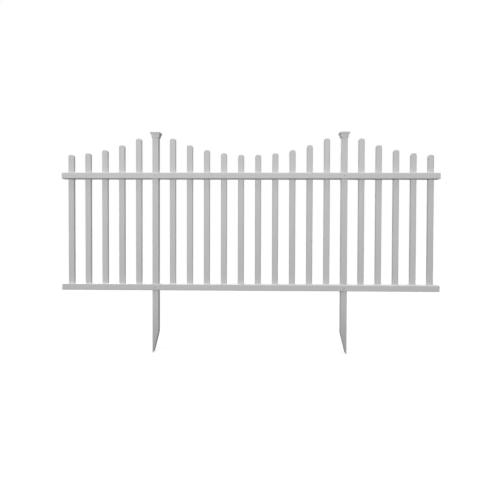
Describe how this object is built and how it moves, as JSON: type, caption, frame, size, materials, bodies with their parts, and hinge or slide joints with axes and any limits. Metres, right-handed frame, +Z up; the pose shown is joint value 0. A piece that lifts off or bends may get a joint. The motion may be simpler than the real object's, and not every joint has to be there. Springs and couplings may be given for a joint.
{
  "type": "vinyl fence panel",
  "caption": "White vinyl picket fence panel: scalloped hollow pickets through two rails, on two capped posts that run down as pointed ground stakes.",
  "frame": {"origin": "ground level on the outer flat face of the left post, in the middle of the panel's thickness", "axes": "+X along the panel towards the right post, +Y from front to back, +Z up"},
  "size_m": [2.3368, 0.062, 1.3718],
  "materials": {
    "extruded_vinyl": "white PVC extrusion, low gloss, with faint draw lines along its length",
    "moulded_vinyl": "white moulded PVC, satin"
  },
  "bodies": {
    "root": {"bottom_rail": "extruded_vinyl", "top_rail": "extruded_vinyl", "left_post": "extruded_vinyl", "right_post": "extruded_vinyl", "picket_01": "extruded_vinyl", "picket_02": "extruded_vinyl", "picket_03": "extruded_vinyl", "picket_04": "extruded_vinyl", "picket_05": "extruded_vinyl", "picket_06": "extruded_vinyl", "picket_07": "extruded_vinyl", "picket_08": "extruded_vinyl", "picket_09": "extruded_vinyl", "picket_10": "extruded_vinyl", "picket_11": "extruded_vinyl", "picket_12": "extruded_vinyl", "picket_13": "extruded_vinyl", "picket_14": "extruded_vinyl", "picket_15": "extruded_vinyl", "picket_16": "extruded_vinyl", "picket_17": "extruded_vinyl", "picket_18": "extruded_vinyl", "picket_19": "extruded_vinyl", "picket_20": "extruded_vinyl", "bottom_rail_left_plug": "moulded_vinyl", "bottom_rail_right_plug": "moulded_vinyl", "top_rail_left_plug": "moulded_vinyl", "top_rail_right_plug": "moulded_vinyl", "left_post_cap": "moulded_vinyl", "right_post_cap": "moulded_vinyl"}
  },
  "joints": []
}
